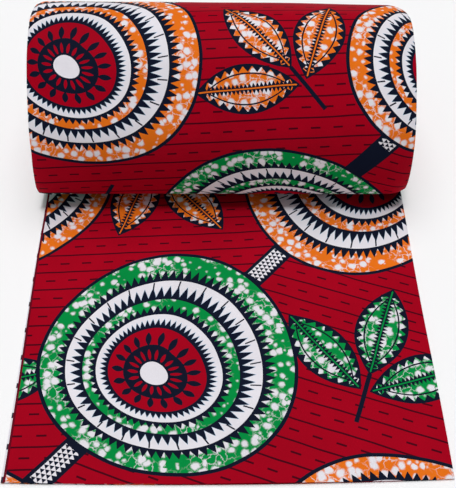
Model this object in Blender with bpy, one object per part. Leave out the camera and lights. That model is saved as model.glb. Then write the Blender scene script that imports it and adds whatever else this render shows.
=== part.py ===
"""A length of wax-print cotton, folded in four along its length and wound into a flat roll.

Its free end lies on the surface in front of the roll. X runs along the roll, from the selvedges on the
left to the fold on the right, Y runs away from the free end's front edge, and Z is up. The origin is at the
bottom centre of the whole.
"""

import math

import bmesh
import bpy

# Driving dimensions, in metres
FOLDED_WIDTH = 0.2906
ROLL_PROUD_LEFT = 0.0010
ROLL_PROUD_RIGHT = 0.0011
PLIES = 4
PLY = 0.0005
GAP = 0.0003
LAID_LENGTH = 0.2368
ROLL_SKEW = 0.014
ROLL_TAPER = 0.022

# The roll's section, which sags on a flat foot and leans in to a crown.
# Columns: height; how far its skin reaches from the roll's centre line to the front; and to the back.
SECTION = (
    (0.0000, 0.0520, 0.0520),
    (0.0060, 0.0735, 0.0740),
    (0.0200, 0.0812, 0.0820),
    (0.0400, 0.0822, 0.0838),
    (0.0600, 0.0792, 0.0812),
    (0.0765, 0.0722, 0.0748),
    (0.0935, 0.0585, 0.0614),
    (0.1090, 0.0420, 0.0450),
    (0.1195, 0.0240, 0.0262),
)
CROWN_HEIGHT = 0.1258
CROWN_BACK = 0.002

# Edges of the folded plies, in metres
SELVEDGE_STEP = 0.0016
FOLD_STEP = 0.0012
FRONT_BOW = 0.0022
EDGE_WAVE = 0.0005
EDGE_WAVES = 1.5
RIM_ROUNDING = 0.0007

# The hidden turns, as they show at the roll's ends, in metres. Each one slips sideways by a little.
TURN_PITCH = 0.0046
GROOVE_DEPTH = 0.0022
END_CLEARANCE = 0.0009
EYE_DEPTH = 0.052
EYE_HEIGHT = 0.005
SLIP = 0.0007
SLIP_PHASE = 2.4

# The outer turn's start lies flat for this length at the back's foot, and the hidden turns rise over it
# for this share of the way round.
START_LENGTH = 0.010
TAIL_SHARE = 0.12

# How far each end of the roll rounds in, at places around it. A negative drop flares out.
# Columns: share of the way round from the back's foot over the top; drop at the right end; at the left end.
SHOULDERS = (
    (0.00, 0.0000, 0.0000),
    (0.05, 0.0000, 0.0000),
    (0.16, 0.0050, 0.0025),
    (0.30, 0.0040, 0.0025),
    (0.41, 0.0050, 0.0035),
    (0.58, 0.0040, 0.0025),
    (0.69, 0.0045, 0.0005),
    (0.75, 0.0070, -0.0022),
    (0.80, 0.0000, 0.0000),
    (1.00, 0.0000, 0.0000),
)
SHOULDER_LENGTH_RIGHT = 0.014
SHOULDER_LENGTH_LEFT = 0.008
SHOULDER_POWER = 2.2

# Colours are linear red, green and blue
PRINT_RED = (0.40, 0.006, 0.02)
EDGE_WHITE = (0.55, 0.48, 0.46)

WALL = PLIES * PLY
TURN = WALL + GAP
RIGHT = FOLDED_WIDTH / 2 + ROLL_PROUD_RIGHT
LEFT = -FOLDED_WIDTH / 2 - ROLL_PROUD_LEFT
LEFT_EDGE_BAND = -FOLDED_WIDTH / 2 + 2 * SELVEDGE_STEP
ROLL_FRONT = max(front for height, front, back in SECTION)
FOOT = SECTION[0][1]
START = FOOT - START_LENGTH
ROLL_CENTRE = LAID_LENGTH + ROLL_FRONT - TURN

# How finely the meshes are cut, and where along the roll its ends round in
SPAN_STEPS = 3
FLAT_STEPS = 6
LAID_STEPS = 16
ACROSS_STEPS = 6
LEFT_STATIONS = (0.0, 0.2, 0.5, 1.0)
RIGHT_STATIONS = (1.0, 0.6, 0.3, 0.12, 0.0)
SHARP_ANGLE = math.radians(35)
RIM_ANGLE = math.radians(60)


def clear_scene():
    for obj in list(bpy.data.objects):
        bpy.data.objects.remove(obj, do_unlink=True)


def material(name, colour, roughness):
    made = bpy.data.materials.new(name)
    made.use_nodes = True
    shader = made.node_tree.nodes["Principled BSDF"]
    shader.inputs["Base Color"].default_value = (*colour, 1.0)
    shader.inputs["Roughness"].default_value = roughness
    shader.inputs["Metallic"].default_value = 0.0
    return made


def between(rows, share, column):
    """The value in a column at this share of the way, read from rows in order of their first number."""
    for low, high in zip(rows, rows[1:]):
        if share <= high[0]:
            part = (share - low[0]) / (high[0] - low[0])
            part = part * part * (3 - 2 * part)
            return low[column] + (high[column] - low[column]) * part
    return rows[-1][column]


def smooth_value(a, b, c, d, t):
    """A value this part of the way from b to c, on a smooth curve that also heeds a before and d after."""
    first = (c - a) / 2
    second = a - 2.5 * b + 2 * c - d / 2
    third = 1.5 * (b - c) + (d - a) / 2
    return b + first * t + second * t**2 + third * t**3


def smooth_curve(points, steps):
    """Points on a smooth curve through all but the first and the last of these."""
    curve = []
    for corners in zip(points, points[1:], points[2:], points[3:]):
        for step in range(steps):
            curve.append(tuple(smooth_value(*values, step / steps) for values in zip(*corners)))
    return curve + [points[-2]]


def roll_outline():
    """The section of the roll's skin, as (y, z) from the back's foot over the crown to the foot again."""
    back = [(reach, height) for height, front, reach in SECTION]
    front = [(-reach, height) for height, reach, back_reach in reversed(SECTION)]
    through = [(START, 0.0)] + back + [(CROWN_BACK, CROWN_HEIGHT)] + front + [(-START, 0.0)]
    flat = [(-FOOT + (START + FOOT) * i / FLAT_STEPS, 0.0) for i in range(1, FLAT_STEPS + 1)]
    return [(START, 0.0)] + smooth_curve(through, SPAN_STEPS) + flat


def outline_shares(outline):
    """How far round each point of the outline is, from 0 to 1."""
    lengths = [math.dist(a, b) for a, b in zip(outline, outline[1:])]
    return [sum(lengths[:i]) / sum(lengths) for i in range(len(outline))]


def outline_normals(outline):
    """Unit normals of the outline, pointing out. At its two ends the surface is flat and faces down."""
    normals = [(0.0, -1.0)]
    for before, after in zip(outline, outline[2:]):
        y, z = after[0] - before[0], after[1] - before[1]
        length = math.hypot(y, z)
        normals.append((z / length, -y / length))
    return normals + [(0.0, -1.0)]


OUTLINE = roll_outline()
SHARES = outline_shares(OUTLINE)
NORMALS = outline_normals(OUTLINE)
FRONT_FOOT = len(OUTLINE) - 1 - FLAT_STEPS


def spiral(index):
    """How far the turn has drifted in from the skin: a whole turn by the time it is under the roll."""
    return TURN * min(1.0, SHARES[index] / SHARES[FRONT_FOOT])


def shoulder(index, x, shorter=0.0):
    """How far the roll's surface rounds in near an end. A hidden layer is shorter, and never flares."""
    near_right = max(0.0, 1 - (RIGHT - shorter - x) / SHOULDER_LENGTH_RIGHT)
    near_left = max(0.0, 1 - (x - LEFT - shorter) / SHOULDER_LENGTH_LEFT)
    right, left = (between(SHOULDERS, SHARES[index], column) for column in (1, 2))
    drop = right * near_right**SHOULDER_POWER + left * near_left**SHOULDER_POWER
    return max(0.0, drop) if shorter else drop


def roll_point(index, x, inward, shorter=0.0):
    """A point of the roll at this place round its section, at x along it, and this far in from the skin."""
    y, z = OUTLINE[index]
    normal_y, normal_z = NORMALS[index]
    inward += shoulder(index, x, shorter)
    taper = 1 - ROLL_TAPER * x / RIGHT
    return (x, ROLL_CENTRE - ROLL_SKEW * x + y - normal_y * inward, z * taper - normal_z * inward)


def stations(shorter=0.0):
    """Places along the roll, close together where its ends round in."""
    left, right = LEFT + shorter, RIGHT - shorter
    near_left = [left + SHOULDER_LENGTH_LEFT * share for share in LEFT_STATIONS]
    near_right = [right - SHOULDER_LENGTH_RIGHT * share for share in RIGHT_STATIONS]
    return near_left + [0.0] + near_right


def add_object(name, mesh_maker, finish):
    """A new object with the mesh that this function makes, its faces pointing out and shaded smooth."""
    work = bmesh.new()
    mesh_maker(work)
    bmesh.ops.recalc_face_normals(work, faces=work.faces)
    mesh = bpy.data.meshes.new(name)
    work.to_mesh(mesh)
    work.free()
    mesh.shade_smooth()
    mesh.set_sharp_from_angle(angle=SHARP_ANGLE)
    obj = bpy.data.objects.new(name, mesh)
    bpy.context.scene.collection.objects.link(obj)
    mesh.materials.append(finish)
    return obj


def loft(work, rows, closed):
    """Joins rows of points with faces. Closed rows are rings, and the first and last are then filled."""
    rings = [[work.verts.new(point) for point in row] for row in rows]
    for ring, following in zip(rings, rings[1:]):
        count = len(ring)
        for i in range(count if closed else count - 1):
            j = (i + 1) % count
            work.faces.new((ring[i], ring[j], following[j], following[i]))
    if closed:
        work.faces.new(rings[0])
        work.faces.new(rings[-1])


def laid_profile():
    """The free end's section, as (x, z): stepped plies on the left and a round fold on the right."""
    left, right = -FOLDED_WIDTH / 2, FOLDED_WIDTH / 2
    under_fold = [
        (left + FOLD_STEP + PLY * (1 - math.sin(a)), PLY * (1 + math.cos(a)))
        for a in (math.radians(180 - 45 * i) for i in range(5))
    ]
    under_selvedge = [(left, 2 * PLY), (left, 3 * PLY)]
    top_selvedge = [(left + SELVEDGE_STEP, 3 * PLY), (left + SELVEDGE_STEP, WALL)]
    fold = [
        (right - WALL / 2 + WALL / 2 * math.cos(a), WALL / 2 + WALL / 2 * math.sin(a))
        for a in (math.radians(90 - 36 * i) for i in range(6))
    ]
    across = [left + FOLDED_WIDTH * step / ACROSS_STEPS for step in range(1, ACROSS_STEPS)]
    over = [(x, WALL) for x in across]
    below = [(x, 0.0) for x in reversed(across)]
    return under_fold + under_selvedge + top_selvedge + over + fold + below


def laid_front(x):
    """The front edge bows a little towards the viewer."""
    return -FRONT_BOW * (1 - (x / RIGHT) ** 2)


def laid_back(x):
    """The free end runs on under the roll and stops where the outer turn leaves the surface."""
    return ROLL_CENTRE - ROLL_SKEW * x + START - GAP


def laid_point(x, z, share):
    """A point of the free end's section, this share of the way from its front edge to its back edge."""
    y = laid_front(x) * (1 - share) + laid_back(x) * share
    if x < LEFT_EDGE_BAND:
        x += EDGE_WAVE * math.sin(2 * math.pi * EDGE_WAVES * share) * math.sin(math.pi * share)
    return (x, y, z)


def make_laid_end(work):
    """The free end: four plies that lie on the surface and on each other, and run on under the roll."""
    shares = [step / LAID_STEPS for step in range(LAID_STEPS + 1)]
    loft(work, [[laid_point(x, z, share) for x, z in laid_profile()] for share in shares], closed=True)


def make_outer_turn(work):
    """The outer turn's skin, from the back's foot over the crown and down, then under the roll's foot."""
    columns = range(len(OUTLINE))
    loft(work, [[roll_point(i, x, spiral(i)) for i in columns] for x in stations()], closed=False)


def core_drift(index):
    """The hidden turns lie one turn in from the outer one, and over its tail at the back's foot."""
    tail = max(0.0, 1 - SHARES[index] / TAIL_SHARE)
    return TURN + max(spiral(index), TURN * tail * tail)


def end_rings(rim, x_end, outward):
    """Rings from a rim in to the roll's flat eye: a crest for each turn and a groove between turns."""
    middle_y = sum(p[1] for p in rim) / len(rim)
    top, bottom = max(p[2] for p in rim), min(p[2] for p in rim)
    middle_z = (top + bottom) / 2
    depth = max(p[1] for p in rim) - min(p[1] for p in rim)
    turns = int((top - bottom - EYE_HEIGHT) / 2 / TURN_PITCH)
    rings = []
    for half_turn in range(1, 2 * turns + 1):
        share = half_turn / (2 * turns)
        across = 1 + (EYE_DEPTH / depth - 1) * share
        upward = 1 + (EYE_HEIGHT / (top - bottom) - 1) * share
        recess = SLIP + SLIP * math.sin(SLIP_PHASE * half_turn)
        if half_turn % 2 == 0:
            recess += GROOVE_DEPTH
        ring_y = [middle_y + (y - middle_y) * across for _, y, _ in rim]
        ring_z = [middle_z + (z - middle_z) * upward for _, _, z in rim]
        rings.append([(x_end - outward * recess, y, z) for y, z in zip(ring_y, ring_z)])
    return rings


def make_rolled_layers(work):
    """The hidden turns as one rounded solid, with the turns' edges showing at both of its ends."""
    shorter = WALL + END_CLEARANCE
    columns = range(len(OUTLINE) - 1)
    body = [[roll_point(i, x, core_drift(i), shorter) for i in columns] for x in stations(shorter)]
    left_rings = end_rings(body[0], LEFT + END_CLEARANCE, -1)
    right_rings = end_rings(body[-1], RIGHT - END_CLEARANCE, 1)
    loft(work, left_rings[::-1] + body + right_rings, closed=True)


def thicken(obj):
    """Gives a sheet its wall, inwards, and rounds the wall's edges."""
    wall = obj.modifiers.new("wall", "SOLIDIFY")
    wall.thickness = WALL
    wall.offset = -1.0
    wall.use_even_offset = True
    rounding = obj.modifiers.new("rounded rim", "BEVEL")
    rounding.width = RIM_ROUNDING
    rounding.segments = 2
    rounding.limit_method = "ANGLE"
    rounding.angle_limit = RIM_ANGLE


def centre_on_origin(objects):
    """Moves the meshes so that the origin is at the bottom centre of them all."""
    graph = bpy.context.evaluated_depsgraph_get()
    points = []
    for obj in objects:
        evaluated = obj.evaluated_get(graph)
        points += [v.co.copy() for v in evaluated.to_mesh().vertices]
        evaluated.to_mesh_clear()
    lows = [min(p[k] for p in points) for k in range(3)]
    highs = [max(p[k] for p in points) for k in range(3)]
    for obj in objects:
        for vertex in obj.data.vertices:
            vertex.co.x -= (lows[0] + highs[0]) / 2
            vertex.co.y -= (lows[1] + highs[1]) / 2
            vertex.co.z -= lows[2]


def main():
    clear_scene()
    print_cotton = material("printed cotton", PRINT_RED, roughness=0.62)
    folded_cotton = material("folded cotton edges", EDGE_WHITE, roughness=0.75)
    laid_end = add_object("laid_end", make_laid_end, print_cotton)
    outer_turn = add_object("outer_turn", make_outer_turn, print_cotton)
    thicken(outer_turn)
    rolled_layers = add_object("rolled_layers", make_rolled_layers, folded_cotton)
    bpy.context.view_layer.update()
    centre_on_origin([laid_end, outer_turn, rolled_layers])


main()
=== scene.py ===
# %% [markdown]
# # A length of wax-print cotton, folded in four and rolled up
#
# The real thing is one piece of cotton cloth, 1.16 m wide and 10.97 m long. A shop folds it in half along
# its length, folds it in half again, and rolls it up. The last stretch lies flat in front of the roll.
# Nothing is sewn. So this lesson makes no parts in the usual sense. It cuts flat cloth at its real size,
# works out where each point of the cloth goes when it is folded and rolled, and prints the cloth with a
# shader that reads the flat cloth's own width and length.

# %% Open the solid model that the cloth has to follow
import math

import bpy
import numpy as np
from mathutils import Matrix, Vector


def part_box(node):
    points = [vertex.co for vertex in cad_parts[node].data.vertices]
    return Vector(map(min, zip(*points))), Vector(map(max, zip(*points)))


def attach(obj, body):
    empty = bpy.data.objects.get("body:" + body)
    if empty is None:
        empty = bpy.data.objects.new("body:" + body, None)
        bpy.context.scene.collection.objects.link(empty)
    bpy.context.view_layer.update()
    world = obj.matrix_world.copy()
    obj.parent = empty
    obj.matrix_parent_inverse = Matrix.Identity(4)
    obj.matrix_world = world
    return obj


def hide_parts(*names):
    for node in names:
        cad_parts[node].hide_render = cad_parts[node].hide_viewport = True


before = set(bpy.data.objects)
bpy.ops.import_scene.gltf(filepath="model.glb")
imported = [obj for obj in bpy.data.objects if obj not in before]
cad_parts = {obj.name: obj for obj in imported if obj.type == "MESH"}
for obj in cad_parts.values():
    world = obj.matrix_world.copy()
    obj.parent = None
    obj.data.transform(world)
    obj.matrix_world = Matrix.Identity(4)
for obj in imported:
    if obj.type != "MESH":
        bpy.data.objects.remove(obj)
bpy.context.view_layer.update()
bpy.ops.object.select_all(action="DESELECT")
print("solids:", sorted(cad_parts))

# %% [markdown]
# ## The camera
#
# A product photo like this is taken from a tripod, looking about 50 degrees down, so that the free end and
# the roll's face both show. A lens of 71 mm on a full-frame camera keeps the sides of the free end from
# leaning in too much. The camera comes first, because every later choice is judged through it.

# %% Place the camera at the photo's angle
LOOK_DOWN = 50.0
LOOK_ASIDE = -0.84
bpy.ops.object.camera_add(
    location=(-0.0028, -0.4532, 0.5378),
    rotation=(math.radians(90.0 - LOOK_DOWN), 0.0, math.radians(LOOK_ASIDE)),
)
camera = bpy.context.object
camera.name = "photo_camera"
camera.data.lens = 71.05
camera.data.sensor_fit = "HORIZONTAL"
camera.data.sensor_width = 36.0
camera.data.clip_start = 0.01
bpy.context.scene.camera = camera
print("the camera looks", LOOK_DOWN, "degrees down")

# %% [markdown]
# ## The sizes
#
# The cloth is laid exactly where the solids lie, so their sizes are repeated here, in metres. The roll's
# section is a short table of heights and reaches, as one would take them from a real roll with a ruler. A
# smooth curve goes through them, because soft cloth has no corners.

# %% Name the sizes of the folded cloth and of the roll
CLOTH_WIDTH = 1.16
CLOTH_LENGTH = 10.97
FOLDED_WIDTH = 0.2906
LAID_LENGTH = 0.2368
FRONT_BOW = 0.0022
FRONT_LEAN = 0.0008
ROLL_LEFT = -FOLDED_WIDTH / 2 - 0.0010
ROLL_RIGHT = FOLDED_WIDTH / 2 + 0.0011
ROLL_SKEW = 0.014
ROLL_TAPER = 0.018
ROLL_BOW = 0.0075
START_LENGTH = 0.010
TURN = 0.0023

# Columns: height; how far the roll's skin reaches from its centre line to the front; and to the back.
SECTION = (
    (0.0000, 0.0520, 0.0520),
    (0.0060, 0.0735, 0.0740),
    (0.0200, 0.0812, 0.0820),
    (0.0400, 0.0822, 0.0838),
    (0.0600, 0.0792, 0.0812),
    (0.0765, 0.0722, 0.0748),
    (0.0935, 0.0585, 0.0614),
    (0.1090, 0.0420, 0.0450),
    (0.1195, 0.0240, 0.0262),
)
CROWN = (0.002, 0.1258)
ROLL_FRONT = max(front for _, front, _ in SECTION)
ROLL_BACK = max(back for _, _, back in SECTION)
FOOT = SECTION[0][1]
START = FOOT - START_LENGTH

# The solids are centred on the origin, so the free end's front edge gives the way to it.
lowest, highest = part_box("laid_end")
MIDDLE_X = highest[0] - FOLDED_WIDTH / 2
FRONT_Y = lowest[1] + FRONT_BOW
ROLL_CENTRE = FRONT_Y + LAID_LENGTH + ROLL_FRONT - TURN
print("the roll's centre line lies", round(ROLL_CENTRE * 1000), "mm behind the origin")

# %% [markdown]
# ## The way round the roll
#
# Later steps ask one question: where on the roll is the point that lies this share of the way round? A
# curve through the table answers it. It starts where the cloth leaves the table at the roll's back, climbs
# the back, passes over the crown, comes down the front and runs along the foot to where it started. Its
# normals say which way is out, so that a ply of cloth can lie under another at an even distance.


# %% Turn the table into a smooth outline with normals
def smooth_value(a, b, c, d, t):
    """A value this part of the way from b to c, on a smooth curve that also heeds a before and d after."""
    first = (c - a) / 2
    second = a - 2.5 * b + 2 * c - d / 2
    third = 1.5 * (b - c) + (d - a) / 2
    return b + first * t + second * t**2 + third * t**3


def outline(span_steps, foot_steps):
    """The section as rows of y and height, their unit normals, and how far round each is, in metres."""
    back = [(reach, height) for height, _, reach in SECTION]
    front = [(-reach, height) for height, reach, _ in reversed(SECTION)]
    through = np.array([(START, 0.0)] + back + [CROWN] + front + [(-START, 0.0)])
    steps = np.arange(span_steps)[:, None] / span_steps
    fours = zip(through, through[1:], through[2:], through[3:])
    curve = [smooth_value(*four, steps) for four in fours]
    foot_y = np.linspace(-FOOT, START, foot_steps + 1)
    foot = np.column_stack([foot_y, np.zeros_like(foot_y)])
    points = np.vstack([[(START, 0.0)]] + curve + [foot])
    along = points[2:] - points[:-2]
    out = np.column_stack([along[:, 1], -along[:, 0]]) / np.linalg.norm(along, axis=1)[:, None]
    normals = np.vstack([[(0.0, -1.0)], out, [(0.0, -1.0)]])
    steps = np.linalg.norm(np.diff(points, axis=0), axis=1)
    return points, normals, np.concatenate([[0.0], np.cumsum(steps)])


COARSE = (3, 6)
way = outline(*COARSE)[2]
FRONT_FOOT = way[-1 - COARSE[1]] / way[-1]
ROUND = outline(12, 24)[2][-1]
print("once round is", round(ROUND, 3), "m; the front foot is", round(100 * FRONT_FOOT), "% of the way")

# %% [markdown]
# ## The soft ends of the roll
#
# A roll of soft cloth is a little thinner at its two ends, because nothing holds the plies out there. The
# drop differs round the roll, so it is a table again, read with an eased step between its rows.

# %% Say how far the roll rounds in near its ends
# Columns: share of the way round; drop at the right end; drop at the left end.
SHOULDERS = np.array((
    (0.00, 0.0000, 0.0000),
    (0.05, 0.0000, 0.0000),
    (0.16, 0.0050, 0.0025),
    (0.30, 0.0040, 0.0025),
    (0.41, 0.0030, 0.0030),
    (0.58, 0.0040, 0.0025),
    (0.69, 0.0036, 0.0010),
    (0.75, 0.0045, 0.0008),
    (0.80, 0.0000, 0.0000),
    (1.00, 0.0000, 0.0000),
))
SHOULDER_LENGTH_RIGHT = 0.014
SHOULDER_LENGTH_LEFT = 0.008
SHOULDER_POWER = 2.2


def eased(part):
    """A share from 0 to 1 that starts and stops gently."""
    part = np.clip(part, 0, 1)
    return part * part * (3 - 2 * part)


def shoulder(share, x, least):
    """How far the surface drops at these shares of the way round and places along the roll."""
    row = np.clip(np.searchsorted(SHOULDERS[:, 0], share, side="right") - 1, 0, len(SHOULDERS) - 2)
    low, high = SHOULDERS[row], SHOULDERS[row + 1]
    part = eased((share - low[..., 0]) / (high[..., 0] - low[..., 0]))
    drop = low[..., 1:] + (high[..., 1:] - low[..., 1:]) * part[..., None]
    near_right = np.clip(1 - (ROLL_RIGHT - x) / SHOULDER_LENGTH_RIGHT, 0, 1) ** SHOULDER_POWER
    near_left = np.clip(1 - (x - ROLL_LEFT) / SHOULDER_LENGTH_LEFT, 0, 1) ** SHOULDER_POWER
    return np.maximum(drop[..., 0] * near_right + drop[..., 1] * near_left, least)


print("deepest drop:", round(1000 * SHOULDERS[:, 1].max(), 1), "mm")

# %% [markdown]
# ## The line of the fold
#
# Seen end on, the cloth folded in four is one line that goes to and fro. On the free end it starts with a
# selvedge on top at the left, runs to the outer fold at the right, comes back along the table to the first
# fold, goes right again, turns inside the outer fold, and ends with the other selvedge at the left, which
# sticks out a little. Level 0 lies on the table and level 3 is on top. On the roll level 0 faces out,
# because the cloth comes up at the back with its lower side outwards.

# %% Make the line of the fold as shares of the width, small shifts and levels
ARC_REACH = 0.0004
# The plies stop this far short of the folded width, which leaves room for the outer fold round them.
FOLD_ROOM = 1.5 * ARC_REACH
EVENNESS = 0.75


def places_across(count):
    """Places from 0 to 1 that crowd a little towards both ends, where the cloth bends."""
    even = np.linspace(0, 1, count)
    return EVENNESS * even + (1 - EVENNESS) * (1 - np.cos(math.pi * even)) / 2


def fold_line(top_places, under_places, arc_steps, left_shifts):
    """Rows of share of the width, shift in metres, level, and width of cloth used so far in metres.

    left_shifts says how far in from the left the top selvedge, the fold and the last selvedge lie."""
    top_shift, fold_shift, last_shift = left_shifts
    line = []

    def run(level, left_shift, places):
        line.extend((place, left_shift * (1 - place) - FOLD_ROOM * place, level) for place in places)

    def turn(place, start, end, steps):
        half = (end - start) / 2
        for angle in np.linspace(0, math.pi, steps + 2)[1:-1]:
            out = ARC_REACH * abs(half) * math.sin(angle)
            shift = fold_shift - out if place == 0 else out - FOLD_ROOM
            line.append((place, shift, start + half * (1 - math.cos(angle))))

    under_places = np.array(under_places)
    run(3, top_shift, top_places)
    turn(1, 3, 0, arc_steps)
    run(0, fold_shift, under_places[::-1])
    turn(0, 0, 1, max(1, arc_steps // 3))
    run(1, fold_shift, under_places)
    turn(1, 1, 2, max(1, arc_steps // 3))
    run(2, last_shift, under_places[::-1])
    line = np.array(line)
    across = line[:, 0] * FOLDED_WIDTH + line[:, 1]
    steps = np.hypot(np.diff(across), np.diff(line[:, 2]) * ARC_REACH)
    used = np.concatenate([[0.0], np.cumsum(steps)])
    return np.column_stack([line, used / used[-1] * CLOTH_WIDTH])


laid_line = fold_line(places_across(85), places_across(61)[::3], 5, (0.0015, 0.0011, 0.0))
outer_line = fold_line(places_across(19), places_across(61), 5, (0.0014, 0.0002, 0.0010))
inner_line = fold_line(places_across(4), (0.0, 0.03, 0.97, 1.0), 3, (0.0014, 0.0004, 0.0008))
print("points across the folded cloth:", len(laid_line), len(outer_line), len(inner_line))

# %% [markdown]
# ## Cut, lay and give a wall
#
# Each stretch of cloth starts as Blender's own grid, one face wide for every step across and along. Its
# flat size goes into a UV map called "cloth" in metres, so that the print keeps its scale wherever the
# cloth goes. Then each point is carried to its place, and Solidify gives the cloth its wall of a quarter of
# a millimetre.

# %% Make the helper that cuts a grid of cloth, lays it and finishes it
WALL = 0.00026


def lay_cloth(name, line, lengths, places):
    """Adds a stretch of the cloth. places has one row for each length along the cloth, and x, y, z last."""
    columns, rows = len(line), len(lengths)
    bpy.ops.mesh.primitive_grid_add(x_subdivisions=columns - 1, y_subdivisions=rows - 1, size=2)
    piece = bpy.context.object
    piece.name = piece.data.name = name
    mesh = piece.data
    grid = np.empty(3 * len(mesh.vertices))
    mesh.vertices.foreach_get("co", grid)
    grid = grid.reshape(-1, 3)
    column = np.rint((grid[:, 0] + 1) / 2 * (columns - 1)).astype(int)
    row = np.rint((grid[:, 1] + 1) / 2 * (rows - 1)).astype(int)
    corner = np.empty(len(mesh.loops), dtype=int)
    mesh.loops.foreach_get("vertex_index", corner)
    flat = np.column_stack([line[column, 3], np.asarray(lengths)[row]])
    uv_map = mesh.uv_layers[0]
    uv_map.name = "cloth"
    uv_map.data.foreach_set("uv", flat[corner].ravel())
    mesh.vertices.foreach_set("co", places[row, column].ravel())
    mesh.update()
    wall = piece.modifiers.new("wall", "SOLIDIFY")
    wall.thickness = WALL
    wall.offset = 0.0
    bpy.ops.object.modifier_apply(modifier=wall.name)
    bpy.ops.object.shade_smooth_by_angle(angle=math.radians(50))
    piece.select_set(False)
    print(name, "has", len(piece.data.polygons), "faces")
    return piece


print("the cloth is", round(1000 * WALL, 2), "mm thick")

# %% [markdown]
# ## The free end
#
# The free end lies flat in front of the roll and goes on under it. Its left side leans in a little, its
# front edge bows, and under the roll it turns with the roll, which does not lie quite square. Cloth that
# was folded and rolled never lies dead flat again, so long soft swells lift the upper levels by a few
# tenths of a millimetre. They fade out under the roll, where its weight presses the cloth down.

# %% Set out the edges of the free end
LEFT_IN = 0.0008
LEFT_LEAN = 0.0013
EDGE_WAVE = 0.0004
# Towards the roll the left edges of the plies draw together, by this share of the steps between them.
NARROWING = 0.75
laid_full = ROLL_CENTRE + START - FRONT_Y
part_back = np.linspace(0, 1, 96)[:, None]
shown_part = np.clip(part_back * laid_full / LAID_LENGTH, 0, 1)
under_roll = eased((part_back * laid_full - LAID_LENGTH) / (laid_full - LAID_LENGTH))
share, shift, level = laid_line[:, :3].T

left = -FOLDED_WIDTH / 2 + LEFT_IN + LEFT_LEAN * shown_part
right = FOLDED_WIDTH / 2 + (ROLL_RIGHT - FOLDED_WIDTH / 2) * under_roll
edge_wave = EDGE_WAVE * np.sin(3 * math.pi * part_back + 0.6) * (1 - under_roll)
narrowing = np.where(share < 0.5, 1 - NARROWING * shown_part, 1.0)
x = left + (right - left) * share + shift * narrowing + edge_wave
front_y = -FRONT_BOW * (1 - (x / ROLL_RIGHT) ** 2) - FRONT_LEAN * x / ROLL_RIGHT
back_y = laid_full - ROLL_SKEW * x
y = front_y + (back_y - front_y) * part_back
print("the free end takes", round(laid_full, 3), "m of the cloth")

# %% Lay the free end in soft swells
# Columns: height, in metres; radians per metre that a wave turns across and along the cloth; its start.
LAID_SWELLS = (
    (0.00022, 31, 17, 1.0),
    (0.00016, -23, 47, 2.2),
    (0.00010, 88, -29, 0.0),
)
LAID_PITCH = 0.0005


def swells(rows, x, along):
    """How far long soft waves lift the cloth at these places. The rows are as in LAID_SWELLS."""
    waves = (height * np.sin(rate * x + way_rate * along + start) for height, rate, way_rate, start in rows)
    return sum(waves)


swell = swells(LAID_SWELLS, x, y)
z = WALL / 2 + level * LAID_PITCH + swell * (level / 3) * (1 - under_roll)
places = np.stack([MIDDLE_X + x, FRONT_Y + y, z], axis=-1)
laid_cloth = lay_cloth("laid_cloth", laid_line, part_back[:, 0] * laid_full, places)

# %% [markdown]
# ## The roll's outer turn
#
# The outer turn is the stretch that shows its print: up the back, over the crown and down the front. It
# climbs by one turn's thickness on the way, as any spiral does, so that it ends on top of the cloth that
# comes in under the roll. At the left, near the foot of the front, its plies stand out in a small lip.


# %% Make the helper that carries cloth onto the roll
def on_roll(points, normals, share, x, inward, least_drop):
    """Places on the roll at x along it, this far in from its skin."""
    inward = inward + shoulder(share, x, least_drop)
    taper = 1 - ROLL_TAPER * x / ROLL_RIGHT - ROLL_BOW * (x / ROLL_RIGHT) ** 2
    y = ROLL_CENTRE - ROLL_SKEW * x + points[..., 0] - normals[..., 0] * inward
    z = points[..., 1] * taper - normals[..., 1] * inward
    return np.stack([MIDDLE_X + x, y, z], axis=-1)


print("the right end is", round(100 * (ROLL_TAPER + ROLL_BOW), 1), "% lower than the middle")

# %% Lay the outer turn
ROLL_PITCH = 0.00036
SKIN_GAP = 0.0002
LIP = 0.0020
LIP_MIDDLE = 0.725
LIP_REACH = 0.075
LIP_POWER = 0.7
LIP_SET_BACK = 0.0009
ROLL_SWELLS = (
    (0.00018, 27, 22, 0.0),
    (0.00012, 61, -35, 0.7),
)
share, shift, level = outer_line[:, :3].T
points, normals, way = outline(8, 16)
round_share = (way / way[-1])[:, None]
climbed = np.clip(round_share / FRONT_FOOT, 0, 1)

near_lip = np.clip(1 - np.abs(round_share - LIP_MIDDLE) / LIP_REACH, 0, 1)
lip = LIP * near_lip**LIP_POWER - LIP_SET_BACK
x = ROLL_LEFT - lip + (ROLL_RIGHT - ROLL_LEFT + lip) * share + shift
swell = swells(ROLL_SWELLS, x, way[:, None]) * np.sin(math.pi * climbed) ** 0.5
inward = TURN * climbed + WALL / 2 + level * ROLL_PITCH + swell + SKIN_GAP
places = on_roll(points[:, None], normals[:, None], round_share, x, inward, -1.0)
outer_cloth = lay_cloth("outer_cloth", outer_line, laid_full + way, places)

# %% [markdown]
# ## The wound layers
#
# The rest of the length is wound inside, 35 turns round a flat eye. Only its folds and selvedges show, at
# the two ends of the roll. Each turn is the skin's outline made smaller towards the eye, which keeps all
# turns the same distance apart and never lets two of them cross. The distance is found by winding the cloth
# a few times over: too much cloth left means that the turns have to lie closer. When cloth is wound by
# hand, the turns slip sideways a little, several together, and that is what makes the ends look layered.

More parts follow.
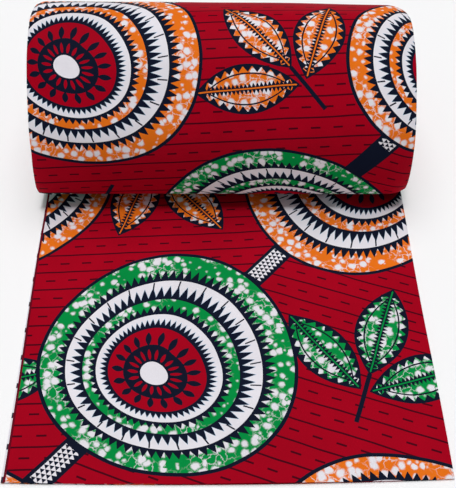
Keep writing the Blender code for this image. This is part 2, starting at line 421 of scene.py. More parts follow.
# %% Wind the hidden turns towards the eye
TURNS = 35
EYE_DEPTH = 0.052
EYE_HEIGHT = 0.005
EYE_MIDDLE = (0.001, 0.0625)
STRAIGHT_IN = 0.0040
points, normals, way = outline(*COARSE)
round_share = way / way[-1]
eye_scale = (EYE_DEPTH / (ROLL_FRONT + ROLL_BACK), EYE_HEIGHT / CROWN[1])
full_depth = (ROLL_FRONT + ROLL_BACK - EYE_DEPTH) / 2
turn = np.repeat(np.arange(TURNS), len(points) - 1)[:, None]
place = np.tile(np.arange(len(points) - 1), TURNS)[:, None]
wound_share = turn + round_share[place]
turns_in = turn + np.clip(round_share[place] / FRONT_FOOT, 0, 1)


def wound(x, inward):
    """Places on the hidden turns at x along the roll, each row this far in from the skin."""
    straight = np.minimum(inward, STRAIGHT_IN)
    ring = on_roll(points[place], normals[place], round_share[place], x, straight, 0.0)
    deeper = np.clip((inward - STRAIGHT_IN) / (full_depth - STRAIGHT_IN), 0, 1)
    middle_y = ROLL_CENTRE - ROLL_SKEW * x + EYE_MIDDLE[0]
    ring[..., 1] = middle_y + (ring[..., 1] - middle_y) * (1 - deeper * (1 - eye_scale[0]))
    ring[..., 2] = EYE_MIDDLE[1] + (ring[..., 2] - EYE_MIDDLE[1]) * (1 - deeper * (1 - eye_scale[1]))
    return ring


hidden_length = CLOTH_LENGTH - laid_full - ROUND
pitch = 0.0015
for attempt in range(8):
    middle = wound(np.zeros_like(turns_in), TURN + pitch * turns_in)[:, 0]
    steps = np.linalg.norm(np.diff(middle, axis=0), axis=1)
    inner_way = np.concatenate([[0.0], np.cumsum(steps)])
    pitch -= (hidden_length - inner_way[-1]) / (math.pi * TURNS**2)
print(TURNS, "turns,", round(pitch * 1000, 3), "mm apart, take", round(inner_way[-1], 3), "m")

# %% Let the turns slip and lay them
# Single turns slip by up to 1 mm, and bundles of about three turns stand in by up to 1 mm more.
# Columns: how far turns slip, in metres; radians per turn; start.
SLIPS = (
    (0.0006, 1.90, 2.4),
    (0.0004, 0.83, 0.5),
)
ENDS_IN = 0.0004
BUNDLE_IN = 0.0005
BUNDLE_TURNS = 3.1
slip = sum(reach * np.sin(rate * wound_share + start) for reach, rate, start in SLIPS)
bundle = BUNDLE_IN * (1 + np.sin(2 * math.pi * wound_share / BUNDLE_TURNS))
settle = np.clip(wound_share, 0, 1)
share, shift, level = inner_line[:, :3].T
left = ROLL_LEFT + (ENDS_IN + bundle + slip) * settle
right = ROLL_RIGHT - (ENDS_IN + bundle - slip) * settle
x = left + (right - left) * share + shift
inward = TURN + pitch * turns_in + WALL / 2 + level * (pitch / 4)
rolled_cloth = lay_cloth("rolled_cloth", inner_line, laid_full + ROUND + inner_way, wound(x, inward))

# %% [markdown]
# ## The printed cotton
#
# Wax print is plain-woven cotton, printed with wax on both sides, dyed, and then block-printed with one or
# two more colours. So the same print shows on both faces, dark outlines sit on bright fields, the brightest
# fields are marbled white where the wax cracked, and thin pale edges follow the outlines where two blocks
# missed each other. All of that is drawn by nodes that read the cloth's flat width and length in
# millimetres. One helper adds a node, sets it and links it. A node's inputs are counted from 0, top to
# bottom, and so are its outputs.


# %% Make the helpers for colours and nodes
def colour(code):
    """The linear colour that a socket holds, from an sRGB hex code."""
    channels = [int(code[i : i + 2], 16) / 255 for i in (1, 3, 5)]
    return (*[c / 12.92 if c <= 0.04045 else ((c + 0.055) / 1.055) ** 2.4 for c in channels], 1.0)


RED = colour("#A0031C")
NAVY = colour("#111729")
WHITE = colour("#E3E0E7")
GREEN = colour("#048A40")
ORANGE = colour("#E4701A")
LINE = colour("#470516")
PALE_EDGE = colour("#A9C3DC")

cotton = bpy.data.materials.new("wax_printed_cotton")
cotton.use_nodes = True
cotton.node_tree.nodes.clear()


def add(kind, inputs=(), output=0, **settings):
    """Adds one node with its settings, gives its inputs values or links, and returns one output."""
    node = cotton.node_tree.nodes.new("ShaderNode" + kind)
    for name, value in settings.items():
        setattr(node, name, value)
    pairs = inputs.items() if isinstance(inputs, dict) else enumerate(inputs)
    for key, value in pairs:
        if isinstance(value, bpy.types.NodeSocket):
            cotton.node_tree.links.new(value, node.inputs[key])
        else:
            node.inputs[key].default_value = value
    return node.outputs[output] if node.outputs else None


print("the red dye in linear light:", [round(channel, 3) for channel in RED[:3]])

# %% Find the place on the cloth in millimetres
# Hand-cut blocks are never quite true, so the place wanders by up to a millimetre.
WANDER = 0.0012
PRINT_SHIFT = (-105.0, -95.0, 0.0)
flat_place = add("UVMap", uv_map="cloth")
wander = add("TexNoise", {0: flat_place, 2: 30.0, 3: 1.0}, 1, noise_dimensions="2D")
place = add("VectorMath", (wander, (WANDER, WANDER, 0.0), flat_place), operation="MULTIPLY_ADD")
place = add("VectorMath", {0: place, 3: 1000.0}, operation="SCALE")
place = add("VectorMath", (place, PRINT_SHIFT), operation="ADD")
print("the print starts", -PRINT_SHIFT[0], "mm in and", -PRINT_SHIFT[1], "mm up")

# %% [markdown]
# ## White where the wax cracked
#
# Before the last dye bath the cloth is crumpled, and the wax bubbles and cracks. What stays covered stays
# white, as ragged blobs up to 5 mm across and thin veins. Cell noise gives the blobs: a point is white
# where it lies close enough to the middle of its cell, and no blob may fill its cell. Slow noise makes them
# crowd in some places and leave others full of dye, and finer noise stirs their outlines.

# %% Marble the dyed fields with blobs
# BLOB_STEP and STIRRING are in millimetres, and the others are shares of BLOB_STEP. A blob's edge fades from
# dye to white between BLOB_OUTSIDE and BLOB_INSIDE.
BLOB_STEP = 6.8
STIRRING = 3.4
GROWTH = 1.25
MOST_BLOB = 0.37
BLOB_OUTSIDE = -0.16
BLOB_INSIDE = 0.10
stir = add("TexNoise", {0: place, 2: 0.16, 3: 3.0, 4: 0.65}, 1, noise_dimensions="2D")
stirred = add("VectorMath", (stir, (STIRRING, STIRRING, 0.0), place), operation="MULTIPLY_ADD")
cells = add("TexVoronoi", {0: stirred, 2: 1 / BLOB_STEP}, voronoi_dimensions="2D")
crowding = add("TexNoise", {0: place, 2: 0.035, 3: 0.0}, noise_dimensions="2D")
chance = add("SeparateColor", (cells.node.outputs[1],))
size = add("Math", (chance, crowding), operation="MULTIPLY")
size = add("Math", (size, GROWTH), operation="MULTIPLY")
size = add("Math", (size, MOST_BLOB), operation="MINIMUM")
inside = add("Math", (size, cells), operation="SUBTRACT")
blobs = add("MapRange", {0: inside, 1: BLOB_OUTSIDE, 2: BLOB_INSIDE}, interpolation_type="SMOOTHSTEP")
print("blobs lie about", BLOB_STEP, "mm apart")

# %% Add thin veins between the blobs
# VEIN_STEP and TEARING are in millimetres, and VEIN_HALF_WIDTH is a share of VEIN_STEP. The veins show only
# where the blobs crowd, and fade in between the two levels of crowding.
VEIN_STEP = 6.0
TEARING = 7.0
VEIN_HALF_WIDTH = 0.08
VEIN_WHITENESS = 1.1
NO_VEINS = 0.42
ALL_VEINS = 0.62
MOST_VEIN = 0.8
torn = add("VectorMath", (stir, (TEARING, TEARING, 0.0), place), operation="MULTIPLY_ADD")
veins = add("TexVoronoi", {0: torn, 2: 1 / VEIN_STEP}, feature="DISTANCE_TO_EDGE", voronoi_dimensions="2D")
veins = add("MapRange", {0: veins, 1: VEIN_HALF_WIDTH, 2: 0.0, 3: 0.0, 4: VEIN_WHITENESS})
broken = add("MapRange", {0: crowding, 1: NO_VEINS, 2: ALL_VEINS, 3: 0.0, 4: MOST_VEIN})
veins = add("Math", (veins, broken), operation="MULTIPLY")
marbled = add("Math", (blobs, veins), operation="MAXIMUM")
print("veins lie about", VEIN_STEP, "mm apart")

# %% [markdown]
# ## Ground, lines and ribbons
#
# The red ground is ruled: a full line every 16 mm and a dashed one halfway. The ground is cut into slanting
# strips that are ruled at different angles, and between two strips runs a dark ribbon with rows of small
# white triangles. The ribbons join the big motifs like stalks. The repeat is 290 by 330 mm, with every
# second row of motifs moved on by half.

# %% Cut the ground into slanting strips
REPEAT = (290.0, 330.0)
EVEN_TILT = 0.36
ODD_TURN = -0.42
DIAGONAL = math.hypot(*REPEAT)
STRIP = REPEAT[0] * REPEAT[1] / DIAGONAL
slant = add("VectorRotate", {0: place, 3: math.atan2(REPEAT[0], REPEAT[1])}, rotation_type="Z_AXIS")
slant = add("SeparateXYZ", (slant,)).node.outputs
strip = add("Math", (slant[0], STRIP), operation="DIVIDE")
strip = add("Math", (strip,), operation="FLOOR")
odd = add("Math", (strip, 1.0), operation="PINGPONG")
angle = add("Math", (odd, ODD_TURN, EVEN_TILT), operation="MULTIPLY_ADD")
ruled = add("VectorRotate", {0: place, 3: angle}, rotation_type="Z_AXIS")
ruled = add("SeparateXYZ", (ruled,)).node.outputs
print("the strips are", round(STRIP), "mm wide")

# %% Rule the strips with full and dashed lines
RULE_STEP = 16.0
DASH_STEP = 16.5
DASH_LENGTH = 7.0
ROW_SHIFT = 6.2
LINE_HALF_WIDTH = 0.65
DASH_HALF_WIDTH = 0.7
height = add("Math", (ruled[1], RULE_STEP / 2), operation="PINGPONG")
full_line = add("Math", (height, LINE_HALF_WIDTH), operation="LESS_THAN")
row = add("Math", (ruled[1], RULE_STEP), operation="DIVIDE")
row = add("Math", (row,), operation="FLOOR")
dash = add("Math", (row, ROW_SHIFT, ruled[0]), operation="MULTIPLY_ADD")
dash = add("Math", (dash, DASH_STEP), operation="FLOORED_MODULO")
dash = add("Math", (dash, DASH_LENGTH), operation="LESS_THAN")
halfway = add("Math", (height, RULE_STEP / 2 - DASH_HALF_WIDTH), operation="GREATER_THAN")
dash = add("Math", (dash, halfway), operation="MULTIPLY")
lines = add("Math", (full_line, dash), operation="MAXIMUM")
paint = add("Mix", {0: lines, 6: RED, 7: LINE}, 2, data_type="RGBA")
print("a full line every", RULE_STEP, "mm, dashes", DASH_LENGTH, "mm long")

# %% Lay the ribbons of white triangles between the strips
RIBBON_HALF_WIDTH = 8.6
TRIANGLE_HALF_WIDTH = 1.9
TRIANGLE_ROW = 3.0
TRIANGLE_SLOPE = 0.9 * TRIANGLE_HALF_WIDTH
FILLED_HALF_LENGTH = 16.0
across = add("Math", (slant[0], STRIP / 2, -STRIP / 2), operation="WRAP")
middle = add("Math", (slant[1], DIAGONAL / 2), operation="FLOORED_MODULO")
middle = add("Math", (middle, DIAGONAL / 4), operation="SUBTRACT")
ribbon = add("Math", (across, 0.0, RIBBON_HALF_WIDTH), operation="COMPARE")
paint = add("Mix", {0: ribbon, 6: paint, 7: NAVY}, 2, data_type="RGBA")
row = add("Math", (across, TRIANGLE_ROW), operation="DIVIDE")
row_number = add("Math", (row,), operation="FLOOR")
row_height = add("Math", (row, row_number), operation="SUBTRACT")
triangle = add("Math", (row_number, TRIANGLE_HALF_WIDTH, middle), operation="MULTIPLY_ADD")
triangle = add("Math", (triangle, TRIANGLE_HALF_WIDTH), operation="PINGPONG")
triangle = add("Math", (triangle, TRIANGLE_SLOPE), operation="DIVIDE")
white = add("Math", (row_height, triangle), operation="LESS_THAN")
inner = add("Math", (across, 0.0, 2 * TRIANGLE_ROW), operation="COMPARE")
white = add("Math", (white, inner), operation="MULTIPLY")
length = add("Math", (middle, 0.0, FILLED_HALF_LENGTH), operation="COMPARE")
white = add("Math", (white, length), operation="MULTIPLY")
paint = add("Mix", {0: white, 6: paint, 7: WHITE}, 2, data_type="RGBA")
print("the ribbons are", 2 * RIBBON_HALF_WIDTH, "mm wide")

# %% [markdown]
# ## Leaves in the gaps
#
# A sprig of three leaves fills each gap between the big motifs. A leaf is a lens: its half-width at each
# place along it is a parabola. How deep a point lies inside that outline gives everything else: the dark
# outline, the border of teeth and the thin line inside it. The blade is combed with dark hairs on both
# sides of a rib.


# %% Make the helpers for the nearest motif and for a leaf
def nearest_motif(place, shift):
    """The place measured from the nearer of the two kinds of motif, and 1 where it is the second kind."""
    half = (REPEAT[0] / 2, REPEAT[1] / 2, 1.0)
    back = tuple(-side for side in half)
    moved = add("VectorMath", (place, shift), operation="ADD")
    first = add("VectorMath", (moved, half, back), operation="WRAP")
    dropped = add("VectorMath", (moved, half), operation="ADD")
    second = add("VectorMath", (dropped, half, back), operation="WRAP")
    first_reach = add("VectorMath", (first,), 1, operation="LENGTH")
    second_reach = add("VectorMath", (second,), 1, operation="LENGTH")
    kind = add("Math", (second_reach, first_reach), operation="LESS_THAN")
    return add("Mix", {0: kind, 4: first, 5: second}, 1, data_type="VECTOR"), kind


LEAF_LENGTH = 78.0
LEAF_HALF_WIDTH = 19.0


def leaf_depth(along, aside):
    """How deep a point lies inside a leaf, in millimetres, from its place along and beside the rib."""
    share = add("Math", (along, LEAF_LENGTH), operation="DIVIDE")
    rest = add("Math", (1.0, share), operation="SUBTRACT")
    bulge = add("Math", (share, rest), operation="MULTIPLY")
    bulge = add("Math", (bulge, 4 * LEAF_HALF_WIDTH), operation="MULTIPLY")
    aside = add("Math", (aside,), operation="ABSOLUTE")
    return add("Math", (bulge, aside), operation="SUBTRACT")


print("leaves are", round(LEAF_LENGTH), "by", round(2 * LEAF_HALF_WIDTH), "mm")

# %% Set out the three leaves of a sprig
# The top leaf points up from the stalk. The side leaves are one leaf, mirrored, turned out from a joint.
JOINT = (3.0, -30.0, 0.0)
TOP_JOINT = -17.0
SPREAD = math.radians(56)
# Green sprigs are turned by the first angle, and orange ones by this much more, in radians.
GREEN_TURN = 0.35
ORANGE_MORE = 2.1
inside, leaf_kind = nearest_motif(place, (REPEAT[0] / 2, 0.0, 0.0))
angle = add("Math", (leaf_kind, ORANGE_MORE, GREEN_TURN), operation="MULTIPLY_ADD")
inside = add("VectorRotate", {0: inside, 3: angle}, rotation_type="Z_AXIS")
sprig = add("SeparateXYZ", (inside,)).node.outputs
across = add("Math", (sprig[0],), operation="ABSOLUTE")
side = add("CombineXYZ", (across, sprig[1]))
side = add("VectorRotate", {0: side, 1: JOINT, 3: SPREAD}, rotation_type="Z_AXIS")
side = add("SeparateXYZ", (side,)).node.outputs
side_aside = add("Math", (side[0], JOINT[0]), operation="SUBTRACT")
side_along = add("Math", (side[1], JOINT[1]), operation="SUBTRACT")
top_along = add("Math", (sprig[1], TOP_JOINT), operation="SUBTRACT")
side_frame = add("CombineXYZ", (side_along, side_aside))
top_frame = add("CombineXYZ", (top_along, sprig[0]))
side_depth = leaf_depth(side_along, side_aside)
top_depth = leaf_depth(top_along, sprig[0])
on_top = add("Math", (top_depth, side_depth), operation="GREATER_THAN")
leaf = add("Mix", {0: on_top, 4: side_frame, 5: top_frame}, 1, data_type="VECTOR")
leaf = add("SeparateXYZ", (leaf,)).node.outputs
depth = add("Math", (side_depth, top_depth), operation="MAXIMUM")
aside = add("Math", (leaf[1],), operation="ABSOLUTE")
print("the side leaves spread", round(math.degrees(SPREAD)), "degrees")

# %% Draw the stalk, the blade and its border of teeth
LEAF_BORDER = 6.6
LEAF_TOOTH = 3.4
LEAF_TOOTH_FOOT = 1.6
LEAF_TOOTH_SLOPE = 1.35
INNER_LINE = 0.6
STALK_HALF_WIDTH = 1.6
STALK_MIDDLE = -36.0
STALK_HALF_LENGTH = 20.0
thin = add("Math", (across, STALK_HALF_WIDTH), operation="LESS_THAN")
low = add("Math", (sprig[1], STALK_MIDDLE, STALK_HALF_LENGTH), operation="COMPARE")
stalk = add("Math", (thin, low), operation="MULTIPLY")
paint = add("Mix", {0: stalk, 6: paint, 7: NAVY}, 2, data_type="RGBA")
dye = add("Mix", {0: leaf_kind, 6: GREEN, 7: ORANGE}, 2, data_type="RGBA")
blade = add("Mix", {0: marbled, 6: dye, 7: WHITE}, 2, data_type="RGBA")
tooth = add("Math", (leaf[0], LEAF_TOOTH), operation="PINGPONG")
tooth = add("Math", (tooth, LEAF_TOOTH_SLOPE, LEAF_TOOTH_FOOT), operation="MULTIPLY_ADD")
dark = add("Math", (depth, tooth), operation="LESS_THAN")
bordered = add("Math", (depth, LEAF_BORDER), operation="LESS_THAN")
dark = add("Math", (dark, bordered), operation="MULTIPLY")
fine_line = add("Math", (depth, LEAF_BORDER + INNER_LINE, INNER_LINE), operation="COMPARE")
dark = add("Math", (dark, fine_line), operation="MAXIMUM")
print("leaf teeth stand", 2 * LEAF_TOOTH, "mm apart")

# %% Comb the blade beside its rib and lay the leaves on the ground
COMB_STEP = 3.0
COMB_FOOT = 1.0
COMB_SLOPE = 2.2
RIB_HALF_WIDTH = 0.55
LEAF_OUTLINE = 2.0
comb = add("Math", (leaf[0], COMB_STEP / 2), operation="PINGPONG")
comb = add("Math", (comb, COMB_SLOPE, COMB_FOOT), operation="MULTIPLY_ADD")
comb = add("Math", (aside, comb), operation="LESS_THAN")
dark = add("Math", (dark, comb), operation="MAXIMUM")
blade = add("Mix", {0: dark, 6: blade, 7: NAVY}, 2, data_type="RGBA")
rib = add("Math", (aside, RIB_HALF_WIDTH), operation="LESS_THAN")
blade = add("Mix", {0: rib, 6: blade, 7: dye}, 2, data_type="RGBA")
rim = add("Math", (depth, LEAF_OUTLINE), operation="LESS_THAN")
blade = add("Mix", {0: rim, 6: blade, 7: NAVY}, 2, data_type="RGBA")
shown = add("Math", (depth, 0.0), operation="GREATER_THAN")
paint = add("Mix", {0: shown, 6: paint, 7: blade}, 2, data_type="RGBA")
print("the comb has a hair every", COMB_STEP, "mm")

# %% [markdown]
# ## Rosettes
#
# The big motifs are round, about 170 mm across, and drawn as rings inside each other. The rings lean to one
# side, and the outer ones are not quite round. A table holds where each ring starts, its colour, and the
# teeth that point out into it. A colour ramp with hard steps works as that table in the shader: it turns a
# radius into the row's values. Where the ramp gives a later row here than it gives one tooth further in,
# the point is on a tooth.

# %% Write the table of rings
DISC = 21.0
FIRST_RING = 34.5
LAST_RING = 67.5
ROSETTE = 86.0
# Columns: inner radius; colour; 1 if it is dyed and marbled; teeth all the way round; their height. In mm.
RINGS = (
    (0.0, WHITE, 0, 0, 0.0),
    (10.0, NAVY, 0, 0, 0.0),
    (DISC, RED, 0, 0, 0.0),
    (FIRST_RING, WHITE, 0, 62, 4.4),
    (43.5, GREEN, 1, 60, 4.4),
    (54.0, WHITE, 0, 64, 7.4),
    (LAST_RING, GREEN, 1, 80, 6.2),
    (ROSETTE, NAVY, 0, 0, 0.0),
)
OUTLINE = 1.8
OUTER_LINE = 2.8
# A ramp holds numbers from 0 to 1, so radii are stored as shares of REACH, and the rest in the same way.
REACH = 92.0
MOST_RINGS = 16
MOST_TEETH = 128.0
MOST_HEIGHT = 16.0
ring_facts = [
    (radius / REACH, (number / MOST_RINGS, teeth / MOST_TEETH, height / MOST_HEIGHT, 1.0))
    for number, (radius, _, _, teeth, height) in enumerate(RINGS)
]
ring_shades = [(radius / REACH, (*shade[:3], dyed)) for radius, shade, dyed, *_ in RINGS]


def write_table(table, stops):
    """Writes stops into a colour ramp without blending. A stop is a place from 0 to 1 and its row."""
    table.interpolation = "CONSTANT"
    for place, _ in stops[2:]:
        table.elements.new(place)
    for element, (place, _) in zip(table.elements, stops):
        element.position = place
    for element, (_, row) in zip(table.elements, stops):
        element.color = row


print(len(RINGS) - 1, "rings in a rosette")

# %% Set out a rosette: its leaning centre, its radius and its lobes
LEAN = (-14.0, -17.0, 0.0)
LOBES = 3.0
LOBE_START = 0.8
LOBE_DEPTH = 0.03
TAU = 2 * math.pi
inside, rosette_kind = nearest_motif(place, (0.0, 0.0, 0.0))
turned = add("Math", (rosette_kind, -2.0, 1.0), operation="MULTIPLY_ADD")
inside = add("VectorMath", {0: inside, 3: turned}, operation="SCALE")
reach = add("VectorMath", (inside,), 1, operation="LENGTH")
lean = add("MapRange", {0: reach, 1: 0.0, 2: ROSETTE, 3: 1.0, 4: 0.0})
centre = add("VectorMath", {0: LEAN, 3: lean}, operation="SCALE")
inside = add("VectorMath", (inside, centre), operation="SUBTRACT")
reach = add("VectorMath", (inside,), 1, operation="LENGTH")
rosette = add("SeparateXYZ", (inside,)).node.outputs
angle = add("Math", (rosette[1], rosette[0]), operation="ARCTAN2")
turn_share = add("Math", (angle, 1 / TAU, 0.5), operation="MULTIPLY_ADD")
lobe = add("Math", (angle, LOBES, LOBE_START), operation="MULTIPLY_ADD")
lobe = add("Math", (lobe,), operation="SINE")
lobe = add("Math", (lobe, LOBE_DEPTH, 1 - LOBE_DEPTH), operation="MULTIPLY_ADD")
radius = add("Math", (reach, lobe), operation="MULTIPLY")
radius_share = add("Math", (radius, REACH), operation="DIVIDE")
print("the inner rings lean by", round(math.hypot(*LEAN)), "mm")

# %% Find the rings' teeth and their pale edges
PALE_WIDTH = 0.6
facts = add("ValToRGB", (radius_share,))
write_table(facts.node.color_ramp, ring_facts)
ring = add("SeparateColor", (facts,)).node.outputs
teeth = add("Math", (ring[1], MOST_TEETH), operation="MULTIPLY")
height = add("Math", (ring[2], 2 * MOST_HEIGHT / REACH), operation="MULTIPLY")
tooth = add("Math", (turn_share, teeth), operation="MULTIPLY")
tooth = add("Math", (tooth, 0.5), operation="PINGPONG")
tooth = add("Math", (tooth, height, OUTLINE / REACH), operation="MULTIPLY_ADD")
further_in = add("Math", (radius_share, tooth), operation="SUBTRACT")
facts = add("ValToRGB", (further_in,))
write_table(facts.node.color_ramp, ring_facts)
row_below = add("SeparateColor", (facts,))
dark = add("Math", (ring[0], row_below), operation="GREATER_THAN")
further_in = add("Math", (further_in, PALE_WIDTH / REACH), operation="SUBTRACT")
facts = add("ValToRGB", (further_in,))
write_table(facts.node.color_ramp, ring_facts)
row_below = add("SeparateColor", (facts,))
pale = add("Math", (ring[0], row_below), operation="GREATER_THAN")
ringed = ((ROSETTE + FIRST_RING) / 2, (ROSETTE - FIRST_RING) / 2)
outside_disc = add("Math", (radius, *ringed), operation="COMPARE")
pale = add("Math", (pale, outside_disc), operation="MULTIPLY")
print("rings have", [ring_row[3] for ring_row in RINGS], "teeth")

# %% Paint the rings and cut ticks into the widest white one
TICKS = 22.0
TICK_WIDTH = 1.9
TICK_MIDDLE = LAST_RING - 3.5
TICK_HALF_LENGTH = 3.2
shade = add("ValToRGB", (radius_share,))
write_table(shade.node.color_ramp, ring_shades)
dye = add("Mix", {0: rosette_kind, 6: GREEN, 7: ORANGE}, 2, data_type="RGBA")
dyed = add("Mix", {0: marbled, 6: dye, 7: WHITE}, 2, data_type="RGBA")
rings = add("Mix", {0: pale, 6: shade, 7: PALE_EDGE}, 2, data_type="RGBA")
rings = add("Mix", {0: shade.node.outputs[1], 6: rings, 7: dyed}, 2, data_type="RGBA")
tick = add("Math", (turn_share, TICKS), operation="MULTIPLY")
tick = add("Math", (tick, 0.5), operation="PINGPONG")
tick = add("Math", (tick, radius), operation="MULTIPLY")
tick = add("Math", (tick, TICK_WIDTH), operation="LESS_THAN")
ticked = add("Math", (radius, TICK_MIDDLE, TICK_HALF_LENGTH), operation="COMPARE")
tick = add("Math", (tick, ticked), operation="MULTIPLY")
rings = add("Mix", {0: tick, 6: rings, 7: NAVY}, 2, data_type="RGBA")
print(round(TICKS), "ticks in the white ring")

# %% Set two rows of seeds into the red disc, and put the rosettes on the cloth
SEEDS = 18.0
SEED_ROW = 12.0
SEED_HALF_LENGTH = 4.9
SEED_GIRTH = 0.085
SEEDED_MIDDLE = DISC + 0.5
SEEDED_HALF_WIDTH = 11.0
seed_side = add("Math", (turn_share, SEEDS), operation="MULTIPLY")
seed_side = add("Math", (seed_side, 0.5), operation="PINGPONG")
seed_side = add("Math", (seed_side, radius), operation="MULTIPLY")
seed_side = add("Math", (seed_side, TAU / SEEDS), operation="MULTIPLY")
seed_row = add("Math", (radius, DISC + SEED_ROW, DISC), operation="WRAP")
seed_row = add("Math", (seed_row, DISC + SEED_ROW / 2), operation="SUBTRACT")
seed_row = add("Math", (seed_row, SEED_HALF_LENGTH), operation="DIVIDE")
seed_row = add("Math", (seed_row, seed_row), operation="MULTIPLY")
girth = add("Math", (seed_row, -SEED_GIRTH, SEED_GIRTH), operation="MULTIPLY_ADD")
girth = add("Math", (girth, radius), operation="MULTIPLY")
seed = add("Math", (seed_side, girth), operation="LESS_THAN")
seeded = add("Math", (radius, SEEDED_MIDDLE, SEEDED_HALF_WIDTH), operation="COMPARE")
seed = add("Math", (seed, seeded), operation="MULTIPLY")
seed_shade = add("ValToRGB", (radius_share,))
write_table(seed_shade.node.color_ramp, [(0.0, RED), (DISC / REACH, NAVY)])
rings = add("Mix", {0: seed, 6: rings, 7: seed_shade}, 2, data_type="RGBA")
rings = add("Mix", {0: dark, 6: rings, 7: NAVY}, 2, data_type="RGBA")
shown = add("Math", (radius, ROSETTE + OUTER_LINE), operation="LESS_THAN")
paint = add("Mix", {0: shown, 6: paint, 7: rings}, 2, data_type="RGBA")
print(round(2 * SEEDS), "seeds in two rows")

# %% [markdown]
# ## Selvedges, dye and weave
#
# Along its two edges the cloth is not printed like the rest. One selvedge is a dark red strip, and the
# other is white with a plain row of dark dashes. The dye is a few per cent uneven, as on all hand-dyed
# cloth. Real threads are about 0.35 mm apart. That is finer than the picture can show, so the weave is
# drawn at 0.8 mm and kept shallow. Pressed cotton is fairly rough and has soft fibres on it, so it scatters
# light evenly, with a pale sheen where one looks along it and hardly any mirror gloss.

# %% Print the selvedges and make the dye uneven
# These sizes are in metres, as the flat cloth's width and length are.
SELVEDGE_RED = colour("#65091D")
SELVEDGE_DASH = colour("#3A3440")
RED_SELVEDGE = 0.0016
WHITE_SELVEDGE = 0.0050
SELVEDGE_STEP = 0.0230
SELVEDGE_DASH_LENGTH = 0.0040
SELVEDGE_DASH_IN = 0.0012
SELVEDGE_DASH_HALF_WIDTH = 0.0011
LEAST_DYE = 0.93
MOST_DYE = 1.03
cloth = add("SeparateXYZ", (flat_place,)).node.outputs
first_edge = add("Math", (cloth[0], RED_SELVEDGE), operation="LESS_THAN")
paint = add("Mix", {0: first_edge, 6: paint, 7: SELVEDGE_RED}, 2, data_type="RGBA")
last_edge = add("Math", (cloth[0], CLOTH_WIDTH - WHITE_SELVEDGE), operation="GREATER_THAN")
paint = add("Mix", {0: last_edge, 6: paint, 7: WHITE}, 2, data_type="RGBA")
dash = add("Math", (cloth[1], SELVEDGE_STEP), operation="FLOORED_MODULO")
dash = add("Math", (dash, SELVEDGE_DASH_LENGTH), operation="LESS_THAN")
dash = add("Math", (dash, last_edge), operation="MULTIPLY")
narrow = (CLOTH_WIDTH - SELVEDGE_DASH_IN, SELVEDGE_DASH_HALF_WIDTH)
narrow = add("Math", (cloth[0], *narrow), operation="COMPARE")
dash = add("Math", (dash, narrow), operation="MULTIPLY")
paint = add("Mix", {0: dash, 6: paint, 7: SELVEDGE_DASH}, 2, data_type="RGBA")
patches = add("TexNoise", {0: place, 2: 0.02, 3: 3.0, 4: 0.6}, noise_dimensions="2D")
patches = add("MapRange", {0: patches, 1: 0.3, 2: 0.7, 3: LEAST_DYE, 4: MOST_DYE})
paint = add("VectorMath", {0: paint, 3: patches}, operation="SCALE")
print("the white selvedge is", WHITE_SELVEDGE * 1000, "mm wide")

# %% Weave it and finish the material
THREAD = 0.0008
RELIEF = 0.0001
SLUB_SHARE = 0.6
threads = add("VectorMath", {0: flat_place, 3: math.pi / THREAD}, operation="SCALE")
threads = add("VectorMath", (threads,), operation="SINE")
threads = add("SeparateXYZ", (threads,)).node.outputs
weave = add("Math", (threads[0], threads[1]), operation="MULTIPLY")
slub = add("TexNoise", {0: place, 2: 0.5, 3: 2.0}, noise_dimensions="2D")
relief = add("Math", (slub, SLUB_SHARE, weave), operation="MULTIPLY_ADD")
relief = add("Bump", {"Strength": 0.25, "Distance": RELIEF, "Filter Width": 1.0, "Height": relief})
finish = {
    "Base Color": paint,
    "Normal": relief,
    "Roughness": 0.6,
    "IOR": 1.47,
    "Specular IOR Level": 0.015,
    "Sheen Weight": 0.05,
    "Sheen Roughness": 0.22,
}
surface = add("BsdfPrincipled", finish)
add("OutputMaterial", (surface,))
for piece in (laid_cloth, outer_cloth, rolled_cloth):
    piece.data.materials.clear()
    piece.data.materials.append(cotton)
print("the print uses", len(cotton.node_tree.nodes), "nodes")

# %% [markdown]
# ## Floor and light
#
# Shop photos of cloth are taken on white paper in a white room, which fills the shadows. A large soft box
# hangs behind the roll, so the top of the roll is bright and its front darkens downwards. A small lamp
# nearly straight above gives the shadow at the roll's foot a firmer edge, and a white board stands low in
# front and lightens the roll's face. All three are sun lamps here, with discs as wide as the real lights
# look from the table. A sun shines alike everywhere, so the paper is as bright far away as it is near.

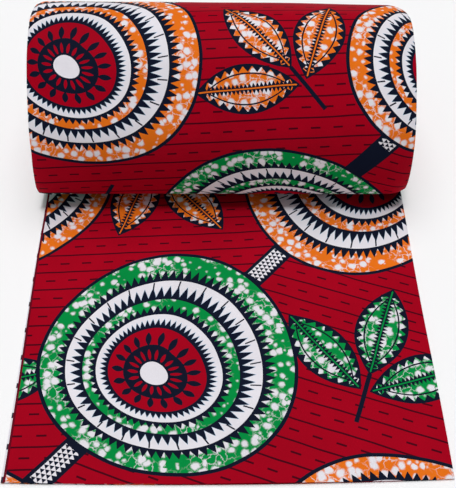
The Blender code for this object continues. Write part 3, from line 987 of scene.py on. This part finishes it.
# %% Lay a pale floor
bpy.ops.mesh.primitive_plane_add(size=120.0, location=(0.0, 0.0, -0.0002))
floor = bpy.context.object
floor.name = "floor"
paper = bpy.data.materials.new("matt_white_paper")
paper.use_nodes = True
paper_surface = paper.node_tree.nodes["Principled BSDF"]
paper_surface.inputs["Base Color"].default_value = colour("#F7F7F8")
paper_surface.inputs["Roughness"].default_value = 0.9
paper_surface.inputs["Specular IOR Level"].default_value = 0.1
floor.data.materials.append(paper)
bpy.ops.object.transform_apply(location=True, rotation=False, scale=True)
print("the floor is", floor.dimensions.x, "m wide")

# %% Light it from above in a white room
room = bpy.data.worlds.new("white_room")
room.use_nodes = True
walls = room.node_tree.nodes["Background"]
walls.inputs["Color"].default_value = (1.0, 1.0, 1.0, 1.0)
# Low down the walls are as bright as the paper in front of them, and above that they are dim.
way = room.node_tree.nodes.new("ShaderNodeTexCoord")
height = room.node_tree.nodes.new("ShaderNodeSeparateXYZ")
room.node_tree.links.new(way.outputs["Generated"], height.inputs["Vector"])
dimming = room.node_tree.nodes.new("ShaderNodeMapRange")
for name, value in (("From Min", 0.0), ("From Max", 0.1), ("To Min", 0.93), ("To Max", 0.2)):
    dimming.inputs[name].default_value = value
room.node_tree.links.new(height.outputs["Z"], dimming.inputs["Value"])
room.node_tree.links.new(dimming.outputs["Result"], walls.inputs["Strength"])
bpy.context.scene.world = room
# Columns: name; tilt from straight above, towards the front; width of its disc, in degrees; strength.
for name, tilt, disc, strength in (
    ("soft_box", -20.0, 40.0, 1.42),
    ("lamp", -4.0, 10.0, 1.19),
    ("front_board", 87.0, 10.0, 0.62),
):
    bpy.ops.object.light_add(type="SUN", location=(0.0, 0.0, 2.0), rotation=(math.radians(tilt), 0.0, 0.0))
    light = bpy.context.object
    light.name = name
    light.data.angle = math.radians(disc)
    light.data.energy = strength
    print(name, "gives", strength, "W for each square metre")
bpy.context.scene.view_settings.view_transform = "Standard"

# %% [markdown]
# ## Attach each piece to the body
#
# Each stretch of cloth rides on the one body and stands for its solid, which is hidden. The three stretches
# are one cloth of 1.16 by 10.97 m, and the length of each one's share of the cut is printed.

for piece, node, slot, length, held, under in (
    (laid_cloth, "laid_end", "printed_cotton", laid_full, "laid", "floor"),
    (outer_cloth, "outer_turn", "printed_cotton", ROUND, "folded", "laid_cloth"),
    (rolled_cloth, "rolled_layers", "folded_edges", inner_way[-1], "folded", "outer_cloth"),
):
    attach(piece, "root")
    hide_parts(node)
    print(piece.name, "is cut", round(float(length), 3), "m long")
